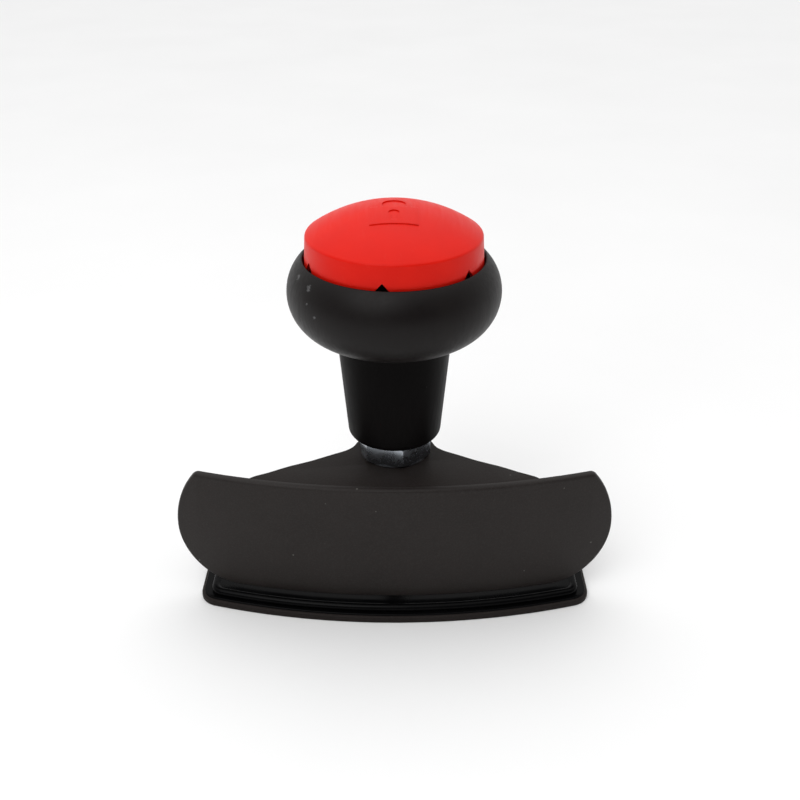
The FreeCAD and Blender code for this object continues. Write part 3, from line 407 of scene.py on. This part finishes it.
def gloss_rubber():
    """Smooth glossy black rubber with a soft swell and faint smears."""
    n = Nodes("gloss_rubber")
    cloud = n.noise(60, detail=4)
    fine = n.noise(1500, detail=2)
    base = n.mix(n.ramp(cloud, 0.0, 1.0, 0.3, 0.7), (0.0012, 0.0012, 0.0014), (0.0022, 0.0022, 0.0024))
    base = n.mix(n.maths("MULTIPLY", n.specks(240, 0.05, seed=7.0), 0.18), base, (0.20, 0.20, 0.20))
    rough = n.maths("ADD", n.ramp(cloud, 0.20, 0.30, 0.3, 0.7), n.ramp(fine, -0.02, 0.02))
    return n.output(base, rough, n.bump(fine, 0.00002, 0.12), Specular_IOR_Level=0.06)


def metal(name, dark, light, rough_low, rough_high, brush=(1.0, 1.0, 1.0), stain=None, grain=900,
          relief=0.35):
    """Bare or plated metal with brushing, cloudy tone and, if given, stains."""
    n = Nodes(name)
    cloud = n.noise(90, detail=5)
    lines = n.noise(grain, detail=3, stretch=brush)
    base = n.mix(n.ramp(cloud, 0.0, 1.0, 0.3, 0.7), dark, light)
    base = n.mix(n.ramp(lines, 0.0, 0.35, 0.45, 0.75), base, tuple(min(1.0, v * 1.15) for v in light))
    if stain:
        base = n.mix(n.ramp(n.noise(260, detail=6), 0.0, 0.55, 0.60, 0.74), base, stain)
    rough = n.maths("ADD", n.ramp(cloud, rough_low, rough_high, 0.3, 0.7), n.ramp(lines, -0.05, 0.05))
    return n.output(base, rough, n.bump(lines, 0.00002, relief), Metallic=1.0)


def black_oxide():
    """Blackened steel with rubbed paler patches."""
    n = Nodes("black_oxide")
    cloud = n.noise(300, detail=5)
    base = n.mix(n.ramp(cloud, 0.0, 1.0, 0.3, 0.75), (0.018, 0.018, 0.020), (0.060, 0.058, 0.060))
    return n.output(base, n.ramp(cloud, 0.32, 0.5), n.bump(n.noise(1600), 0.00003, 0.3), Metallic=0.7)


POWDER = powder_coat("powder_coat", 0.18)
# The plates' copy of the same powder coat has a third of the shine: painted shade, so the upward top plate
# and the lower plate's front edge come out darker than the guard.
DULLED_PLATE_POWDER = powder_coat("plate_powder_coat", 0.06)
PLASTIC = satin_plastic("grip_plastic", 0.17, (0.0052, 0.0038, 0.0037), (0.0072, 0.0054, 0.0052))
# The neck's copy of the grip plastic has half the base colour and about a fifth of the shine: painted shade
# under the grip, not a darker plastic.
SHADED_NECK_PLASTIC = satin_plastic("neck_plastic", 0.035, (0.0026, 0.0021, 0.0021), (0.0038, 0.0031, 0.0031))
RED = red_plastic()
RUBBER = gloss_rubber()
ZINC = metal("zinc_plate", (0.36, 0.39, 0.43), (0.41, 0.44, 0.48), 0.24, 0.30,
             grain=300, relief=0.05)
STEEL = metal("ground_steel", (0.42, 0.42, 0.43), (0.60, 0.60, 0.61), 0.22, 0.34, brush=(1, 1, 0.05))
TURNED = metal("turned_steel", (0.42, 0.42, 0.43), (0.58, 0.58, 0.59), 0.24, 0.36, brush=(1, 1, 6))
BRASS = metal("turned_brass", (0.62, 0.43, 0.17), (0.82, 0.62, 0.30), 0.24, 0.36, stain=(0.40, 0.24, 0.09))
NICKEL = metal("nickel_plate", (0.55, 0.53, 0.49), (0.72, 0.70, 0.66), 0.16, 0.28, stain=(0.38, 0.35, 0.30))
WIRE = metal("spring_wire", (0.50, 0.50, 0.51), (0.66, 0.66, 0.67), 0.2, 0.3)
OXIDE = black_oxide()


# ---------------------------------------------------------------- cap
def build_cap():
    """The hollow domed cap with a rounded shoulder and notches in its skirt."""
    dome_z = CAP["shoulder_z"] - math.sqrt(CAP["dome"] ** 2 - CAP["shoulder_r"] ** 2)
    edge, wall = CAP["edge"], CAP["wall"]
    edge_r = CAP["shoulder_r"] - edge
    edge_z = dome_z + math.sqrt((CAP["dome"] - edge) ** 2 - edge_r ** 2)
    lean = math.degrees(math.atan2(CAP["foot_r"] - CAP["shoulder_r"], CAP["shoulder_z"] - CAP["foot_z"]))
    turn = math.degrees(math.atan2(edge_z - dome_z, edge_r))
    inner = CAP["dome"] - wall
    inner_r = CAP["shoulder_r"] - wall
    inner_turn = math.degrees(math.acos(inner_r / inner))
    foot_r, foot_z, chamfer = CAP["foot_r"], CAP["foot_z"], CAP["foot_chamfer"]
    profile = [(foot_r - wall, foot_z), (foot_r - chamfer, foot_z), (foot_r, foot_z + chamfer)]
    profile += arc((edge_r, edge_z), edge, lean, turn, 8)
    profile += arc((0, dome_z), CAP["dome"], turn + 0.6, 90, 40)
    profile += arc((0, dome_z), inner, 90, inner_turn, 24)
    verts, faces = lathe(profile)
    cap = add_mesh("cap_shell_look", verts, faces, "cap", RED, ("cap_shell",))
    wedges = []
    for number in range(CAP_NOTCH["count"]):
        angle = math.radians(number * 360 / CAP_NOTCH["count"] - CAP_NOTCH["turn"])
        spin = Matrix.Rotation(angle, 3, "Z")
        half, low, start = CAP_NOTCH["half"], CAP_NOTCH["low"], -CAP_NOTCH["from_r"]
        triangle = [(-half, start, low), (half, start, low), (0, start, CAP_NOTCH["high"])]
        wedges.append(prism([spin @ Vector(p) for p in triangle], spin @ Vector((0, -CAP_NOTCH["reach"], 0))))
    carve(cap, wedges)
    shade(cap, 25)


# ---------------------------------------------------------------- knob
def build_head():
    """The ring-shaped grip with its rounded lip, the cup for the cap and three screw sinks."""
    tube, lip, bore, floor = HEAD["tube"], HEAD["lip"], HEAD["bore"], HEAD["floor"]
    centre_r, centre_z = HEAD["centre_r"], HEAD["centre_z"]
    lip_r = HEAD["lip_r"] + lip
    lip_z = centre_z + math.sqrt((tube - lip) ** 2 - (lip_r - centre_r) ** 2)
    meet = math.degrees(math.atan2(lip_z - centre_z, lip_r - centre_r))
    fillet, chamfer = HEAD["floor_round"], HEAD["bore_chamfer"]
    profile = [(bore, centre_z - tube)]
    profile += arc((centre_r, centre_z), tube, -90, meet, 72)
    profile += arc((lip_r, lip_z), lip, meet + 8, 180, 8)
    profile += arc((HEAD["lip_r"] - fillet, floor + fillet), fillet, 0, -90, 5)
    profile += [(bore + chamfer, floor), (bore, floor - chamfer)]
    verts, faces = lathe(profile)
    head = add_mesh("knob_head_look", verts, faces, "upper_body", PLASTIC, ("knob_head",))
    sinks = []
    for degrees in HEAD_SCREW["angles"]:
        x = HEAD_SCREW["circle"] * math.cos(math.radians(degrees))
        y = HEAD_SCREW["circle"] * math.sin(math.radians(degrees))
        ring = circle(x, y, HEAD_SCREW["sink_r"], HEAD_SCREW["sink_z"], 40)
        sinks.append(prism(ring, (0, 0, HEAD_SCREW["cut"])))
    carve(head, sinks)
    shade(head, 30)


def build_neck():
    """The tapering sleeve with a rounded lower edge."""
    low_z, top_r, bore = NECK["low_z"], NECK["top_r"], NECK["bore"]
    rise = NECK["top_z"] - low_z
    slope = (top_r - NECK["low_r"]) / rise
    lean = math.degrees(math.atan(slope))
    radius = NECK["round"]
    centre_r = NECK["low_r"] + slope * radius - radius / math.cos(math.radians(lean))
    profile = [(bore, low_z)]
    profile += arc((centre_r, low_z + radius), radius, -90, -lean, 12)
    profile += [(top_r - slope * rise * (1 - k / 8), low_z + rise * k / 8) for k in range(2, 8)]
    profile += [(top_r, NECK["top_z"]), (bore, NECK["top_z"])]
    verts, faces = lathe(profile)
    add_mesh("neck_sleeve_look", verts, faces, "upper_body", SHADED_NECK_PLASTIC, ("neck_sleeve",))


# ---------------------------------------------------------------- guard
def guard_outline():
    """The panel's outline as a closed loop of (x, z), and the index of its last bottom point."""
    waist, corner, upper_r = GUARD["waist"], GUARD["corner"], GUARD["upper_r"]
    lower_r = waist - GUARD["low"]
    lower_x, upper_x = GUARD["half"] - lower_r, GUARD["half"] - upper_r
    corner_x = upper_x + math.sqrt((upper_r - corner) ** 2 - (GUARD["top"] - corner - waist) ** 2)
    meet_x = upper_x + (corner_x - upper_x) * upper_r / (upper_r - corner)

    def low(x):
        return GUARD["low"] if x <= lower_x else waist - math.sqrt(max(lower_r ** 2 - (x - lower_x) ** 2, 0))

    def high(x):
        if x <= corner_x:
            return GUARD["top"]
        if x <= meet_x:
            return GUARD["top"] - corner + math.sqrt(max(corner ** 2 - (x - corner_x) ** 2, 0))
        return waist + math.sqrt(max(upper_r ** 2 - (x - upper_x) ** 2, 0))

    end_steps, middle_steps = 96, 72
    right = [lower_x + lower_r * math.sin(math.pi / 2 * i / end_steps) for i in range(1, end_steps + 1)]
    columns = [-x for x in reversed(right)]
    columns += [lower_x * (2 * i / middle_steps - 1) for i in range(middle_steps + 1)] + right
    bottom = [(x, low(abs(x))) for x in columns]
    top = [(x, high(abs(x))) for x in columns[1:-1]]
    return bottom + top[::-1], len(columns) - 1


def build_guard():
    """A bowed panel with rounded edges; its top edge is rolled a little more than the rest."""
    loop, last = guard_outline()
    count = len(loop)
    inward = []
    for index in range(count):
        before, after = Vector(loop[index - 1]), Vector(loop[(index + 1) % count])
        along = (after - before).normalized()
        inward.append(Vector((-along.y, along.x)))
    centre_y = GUARD["front_y"] + GUARD["radius"]
    edge, top_edge, sharp = GUARD["edge"], GUARD["top_edge"], GUARD["back_top_edge"]
    thick, steps = GUARD["thick"], 6

    def ring(depth_of, inset_of, top_size):
        points = []
        for point, normal in zip(loop, inward):
            upward = max(0.0, -normal.y) ** 4
            size = edge + (top_size - edge) * upward
            x = point[0] + normal.x * inset_of(size)
            z = point[1] + normal.y * inset_of(size)
            reach = GUARD["radius"] - depth_of(size)
            points.append((x, centre_y - math.sqrt(reach ** 2 - x ** 2), z))
        return points

    rings = []
    for step in range(steps + 1):
        turn = math.pi / 2 * step / steps
        rings.append(ring(lambda e: e * (1 - math.cos(turn)), lambda e: e * (1 - math.sin(turn)), top_edge))
    for step in range(steps + 1):
        turn = math.pi / 2 * step / steps
        rings.append(ring(lambda e: thick - e * (1 - math.sin(turn)), lambda e: e * (1 - math.cos(turn)),
                          sharp))
    verts = [p for points in rings for p in points]
    faces = strip_faces(len(rings), count)
    for start in (0, (len(rings) - 1) * count):
        for index in range(last):
            upper = [start + (count - i) % count if i else start for i in (index, index + 1)]
            corners = [start + index, start + index + 1, upper[1], upper[0]]
            if index + 1 == last:
                corners = [start + index, start + index + 1, upper[0]]
            faces.append(tuple(dict.fromkeys(corners)))
    add_mesh("front_shield_look", verts, faces, "upper_body", POWDER, ("front_shield",), 40)


def build_welds():
    """Three rippled weld beads in the corner under the top plate."""
    centre_y = GUARD["front_y"] + GUARD["radius"]
    radius, depth = GUARD["radius"] - GUARD["thick"], WELD["ripple_depth"]
    steps, across = 120, 8
    for number, (middle, half) in enumerate(WELD["runs"]):
        loops = []
        for step in range(steps + 1):
            share = step / steps
            angle = math.radians(-90 + middle - half + 2 * half * share)
            pulse = 0.5 + 0.5 * math.cos(share * 2 * math.pi * WELD["ripples"])
            taper = min(1.0, 6 * min(share, 1 - share) + 0.25)
            size = WELD["leg"] * (1 - depth + depth * pulse) * taper
            corner = Vector((radius * math.cos(angle), centre_y + radius * math.sin(angle), WELD["corner_z"]))
            back = Vector((-math.cos(angle), -math.sin(angle), 0))
            loop = [corner]
            for k in range(across + 1):
                turn = math.pi / 2 * k / across
                loop.append(corner + size * (math.cos(turn) * back - math.sin(turn) * Vector((0, 0, 1))))
            loops.append(loop)
        verts, faces = stacked(loops)
        stands_for = ("weld_beads",) if number == 0 else ()
        add_mesh("weld_%d" % number, verts, faces, "upper_body", POWDER, stands_for, 50)


# ---------------------------------------------------------------- lower jaw
def tray_loop(side, front, corner, height):
    """The lower plate's outline drawn in from its sides and its bowed front, as points."""
    half, bow = TRAY["half"] - side, TRAY["bow"] - front
    back = TRAY["back_y"] - side
    centre_y = TRAY["front_y"] + TRAY["bow"]
    corner_x, back_y = half - corner, back - corner
    corner_y = centre_y - math.sqrt((bow - corner) ** 2 - corner_x ** 2)
    lean = math.degrees(math.atan2(corner_x, centre_y - corner_y))
    points = []
    for i in range(73):
        angle = math.radians(-90 - lean + 2 * lean * i / 72)
        points.append((bow * math.cos(angle), centre_y + bow * math.sin(angle)))
    points += arc((corner_x, corner_y), corner, -90 + lean, 0, 16)[1:]
    points += arc((corner_x, back_y), corner, 0, 90, 16)
    points += arc((-corner_x, back_y), corner, 90, 180, 16)
    points += arc((-corner_x, corner_y), corner, 180, 270 - lean, 16)[:-1]
    return [(x, y, height) for x, y in points]


def build_lower_plate():
    """The plate with soft edges; its screw and dowel holes are cut from below."""
    soft, under, thick, corner = TRAY["top_round"], TRAY["under_round"], TRAY["thick"], TRAY["corner"]
    loops = []
    for k in range(6):
        turn = math.pi / 2 * k / 5
        inset = under * (1 - math.sin(turn))
        loops.append(tray_loop(inset, inset, corner - inset, under * (1 - math.cos(turn))))
    for k in range(8):
        turn = math.pi / 2 * k / 7
        inset = soft * (1 - math.cos(turn))
        loops.append(tray_loop(inset, inset, corner - inset, thick - soft * (1 - math.sin(turn))))
    verts, faces = stacked(loops)
    plate = add_mesh("lower_plate_look", verts, faces, "lower_jaw", DULLED_PLATE_POWDER,
                     ("lower_plate",))
    below, above = -1, 5
    sink_r, screw_r = TRAY_HOLES["sink_r"], TRAY_HOLES["screw_r"]
    holes = [lathe([(0, below), (sink_r, below), (sink_r, TRAY_HOLES["sink_flat"]), (screw_r, thick),
                    (screw_r, above), (0, above)], 64)]
    for side in (-1, 1):
        ring = circle(TRAY_HOLES["dowel_x"] * side, 0, TRAY_HOLES["dowel_r"], below, 32)
        holes.append(prism(ring, (0, 0, above - below)))
    carve(plate, holes)
    shade(plate, 30)


def build_pad():
    """The rubber pad: a thin sloping edge, a trough, a rounded bead and a raised field inside it."""
    inset, low, top, radius = PAD["inset"], PAD["low"], PAD["top"], PAD["bead_r"]
    side, front, corner = PAD["bead_side"], PAD["bead_front"], PAD["corner"]
    soft, draft = PAD["edge_round"], PAD["draft"]
    levels = [(inset, inset, low), (inset + draft, inset + draft, low + soft)]
    for k in range(1, 5):
        turn = math.pi / 2 * k / 4
        step = draft + soft * (1 - math.cos(turn))
        levels.append((inset + step, inset + step, low + soft + (top - low - soft) * math.sin(turn)))
    outer = math.degrees(math.asin((top - PAD["bead_z"]) / radius))
    inner = math.degrees(math.asin((PAD["field"] - PAD["bead_z"]) / radius))
    for across, height in arc((0, PAD["bead_z"]), radius, 180 - outer, inner, 28):
        levels.append((side + across, front + across, height))
    run = radius + PAD["field_run"]
    levels.append((side + run, front + run, PAD["field"]))
    loops = []
    for in_side, in_front, height in levels:
        eased = TRAY["corner"] - in_side * (TRAY["corner"] - corner) / side
        loops.append(tray_loop(in_side, in_front, eased if in_side < side else corner, height))
    verts, faces = stacked(loops)
    pad = add_mesh("jaw_pad_look", verts, faces, "lower_jaw", RUBBER, ("jaw_pad",))
    carve(pad, [prism(circle(0, 0, PAD["hole"], 2, 96), (0, 0, 8))])
    shade(pad, 35)


# ---------------------------------------------------------------- CAD nodes that keep their shape
PAINTED = {
    "stem_screw": OXIDE, "stem_dowels": STEEL, "guide_pin": STEEL, "lock_housing": TURNED,
    "head_screws": OXIDE, "cylinder_body": BRASS, "driver_pins": BRASS, "driver_springs": WIRE,
    "key_pins": BRASS, "cam_disc": STEEL, "cam_screws": OXIDE, "locking_slide": STEEL,
}


def paint_nodes():
    """Give the carried-over CAD nodes their materials."""
    for name, material in PAINTED.items():
        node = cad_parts[name]
        node.data.materials.clear()
        node.data.materials.append(material)


def kept_sharp(point):
    """True for the top plate's edges along the guard and round the stud's hole."""
    at_guard = point.y < TOP_PLATE["front_y"] and abs(point.x) < TOP_PLATE["front_half"]
    return at_guard or point.x ** 2 + point.y ** 2 < TOP_PLATE["stud_reach"] ** 2


def build_rounded_nodes():
    """CAD shapes whose hard edges get a small round."""
    bevelled_copy("hex_nut", "hex_nut_look", 0.25, "upper_body", ZINC, angle=25)
    bevelled_copy("nut_washer", "nut_washer_look", 0.15, "upper_body", OXIDE)
    bevelled_copy("cap_emblem", "cap_emblem_look", 0.15, "cap", RED)
    bevelled_copy("top_plate", "top_plate_look", 0.7, "upper_body", DULLED_PLATE_POWDER,
                  sharp=kept_sharp)
    bevelled_copy("stud_tube", "stud_tube_look", 0.3, "upper_body", TURNED)
    bevelled_copy("stem", "stem_look", 0.2, "lower_jaw", STEEL)
    bevelled_copy("anti_drill_disc", "anti_drill_disc_look", 0.35, "upper_body", TURNED)
    bevelled_copy("plug", "plug_look", 0.12, "key_plug", NICKEL)


# ---------------------------------------------------------------- floor, light and camera
def build_stage():
    """A plain pale floor."""
    mesh = bpy.data.meshes.new("floor")
    size = 6.0
    mesh.from_pydata([(-size, -size, 0), (size, -size, 0), (size, size, 0), (-size, size, 0)], [],
                     [(0, 1, 2, 3)])
    floor = place_object("floor", mesh)
    n = Nodes("floor_paper")
    tone = n.mix(n.ramp(n.noise(6, detail=3), 0.0, 1.0, 0.3, 0.7), (0.90, 0.90, 0.90), (0.92, 0.92, 0.92))
    mesh.materials.append(n.output(tone, 0.8))


def area_light(name, place, aim, size, power):
    """A rectangular soft box at a place, facing an aim, in metres and watts."""
    data = bpy.data.lights.new(name, "AREA")
    data.shape = "RECTANGLE"
    data.size, data.size_y = size
    data.energy = power
    lamp = place_object(name, data)
    lamp.location = place
    lamp.rotation_euler = (Vector(aim) - Vector(place)).to_track_quat("-Z", "Y").to_euler()


def build_light():
    """A white room that is dark in front and brightest overhead, with a soft box above the camera."""
    world = bpy.data.worlds.new("studio")
    bpy.context.scene.world = world
    world.use_nodes = True
    tree = world.node_tree
    place = tree.nodes.new("ShaderNodeTexCoord")
    split = tree.nodes.new("ShaderNodeSeparateXYZ")
    tree.links.new(place.outputs["Generated"], split.inputs["Vector"])
    parts = []
    for axis, start, stop, low, high in (("Y", -0.45, 0.45, 0.04, 0.80), ("Z", 0.55, 0.90, 0.0, 1.15)):
        fade = tree.nodes.new("ShaderNodeMapRange")
        for name, value in (("From Min", start), ("From Max", stop), ("To Min", low), ("To Max", high)):
            fade.inputs[name].default_value = value
        tree.links.new(split.outputs[axis], fade.inputs["Value"])
        parts.append(fade.outputs["Result"])
    total = tree.nodes.new("ShaderNodeMath")
    total.operation = "ADD"
    for part, socket in zip(parts, total.inputs):
        tree.links.new(part, socket)
    tree.links.new(total.outputs["Value"], tree.nodes["Background"].inputs["Strength"])
    tree.nodes["Background"].inputs["Color"].default_value = (1.0, 1.0, 1.0, 1.0)
    area_light("key_box", place=(-0.45, -0.85, 1.05), aim=(0, 0, 0.08), size=(0.9, 0.9), power=6.5)


def build_camera():
    """The camera in front of the guard, looking down at the lock."""
    data = bpy.data.cameras.new("camera")
    data.lens = 49.5
    camera = place_object("camera", data)
    camera.location = Vector((2.5, -443.2, 333.5)) * MM
    aim = Vector((2.5, 0.0, 93.9)) * MM
    camera.rotation_euler = (aim - camera.location).to_track_quat("-Z", "Y").to_euler()
    bpy.context.scene.camera = camera
    bpy.context.scene.view_settings.view_transform = "Standard"


build_cap()
build_head()
build_neck()
build_guard()
build_welds()
build_lower_plate()
build_pad()
build_rounded_nodes()
paint_nodes()
build_stage()
build_light()
build_camera()
